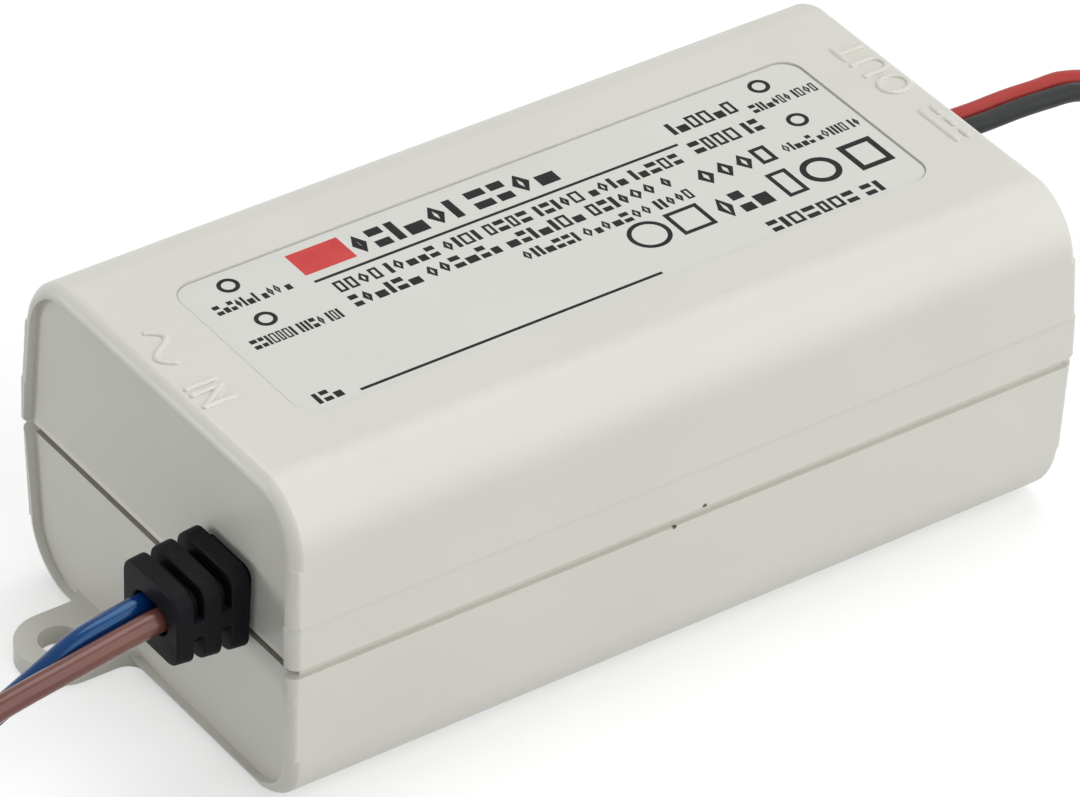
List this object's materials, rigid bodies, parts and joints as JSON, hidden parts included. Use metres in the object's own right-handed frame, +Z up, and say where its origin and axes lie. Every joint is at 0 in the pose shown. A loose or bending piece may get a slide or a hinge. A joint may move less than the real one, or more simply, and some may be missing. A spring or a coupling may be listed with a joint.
{
  "type": "led driver",
  "caption": "Small power supply in a two-part plastic case with rounded edges, diagonal mounting ears, and a lead pair through a ribbed bushing at each end.",
  "frame": {"origin": "middle of the base, on the surface that the case stands on", "axes": "+X along the case from the input end to the output end, +Y across it, +Z up"},
  "size_m": [0.2077, 0.0502, 0.0308],
  "materials": {
    "case": "fine satin, pale ivory grey",
    "label": "flat printed panel",
    "bushing": "moulded black",
    "brown_sheath": "soft sheath",
    "blue_sheath": "soft sheath",
    "red_sheath": "soft sheath",
    "black_sheath": "soft sheath",
    "tin": "tinned strands",
    "board": "bare laminate",
    "fuse_coat": "dipped coat",
    "disc_coat": "dipped coat",
    "film_box": "moulded box",
    "ferrite": "ground ferrite",
    "copper": "enamelled wire",
    "resin": "moulded resin",
    "can_sleeve": "shrunk sleeve",
    "bobbin": "moulded bobbin",
    "tape": "wound tape",
    "pale_resin": "moulded resin",
    "resistor_coat": "lacquer"
  },
  "bodies": {
    "root": {"upper_cover": "case", "lower_case": "case", "rating_label": "label", "input_bushing": "bushing", "output_bushing": "bushing", "lead_brown": "brown_sheath", "lead_blue": "blue_sheath", "lead_red": "red_sheath", "lead_black": "black_sheath", "tip_brown": "tin", "tip_blue": "tin", "tip_red": "tin", "tip_black": "tin", "circuit_board": "board", "fuse_resistor": "fuse_coat", "varistor": "disc_coat", "film_capacitor": "film_box", "choke_core": "ferrite", "choke_winding": "copper", "bridge_rectifier": "resin", "bulk_capacitors": "can_sleeve", "controller_chip": "resin", "transformer_core": "ferrite", "transformer_bobbin": "bobbin", "transformer_winding": "tape", "snubber_diode": "resin", "snubber_capacitor": "disc_coat", "optocoupler": "pale_resin", "safety_capacitor": "disc_coat", "output_diode": "resin", "output_capacitors": "can_sleeve", "output_choke": "ferrite", "resistors": "resistor_coat"}
  },
  "joints": []
}
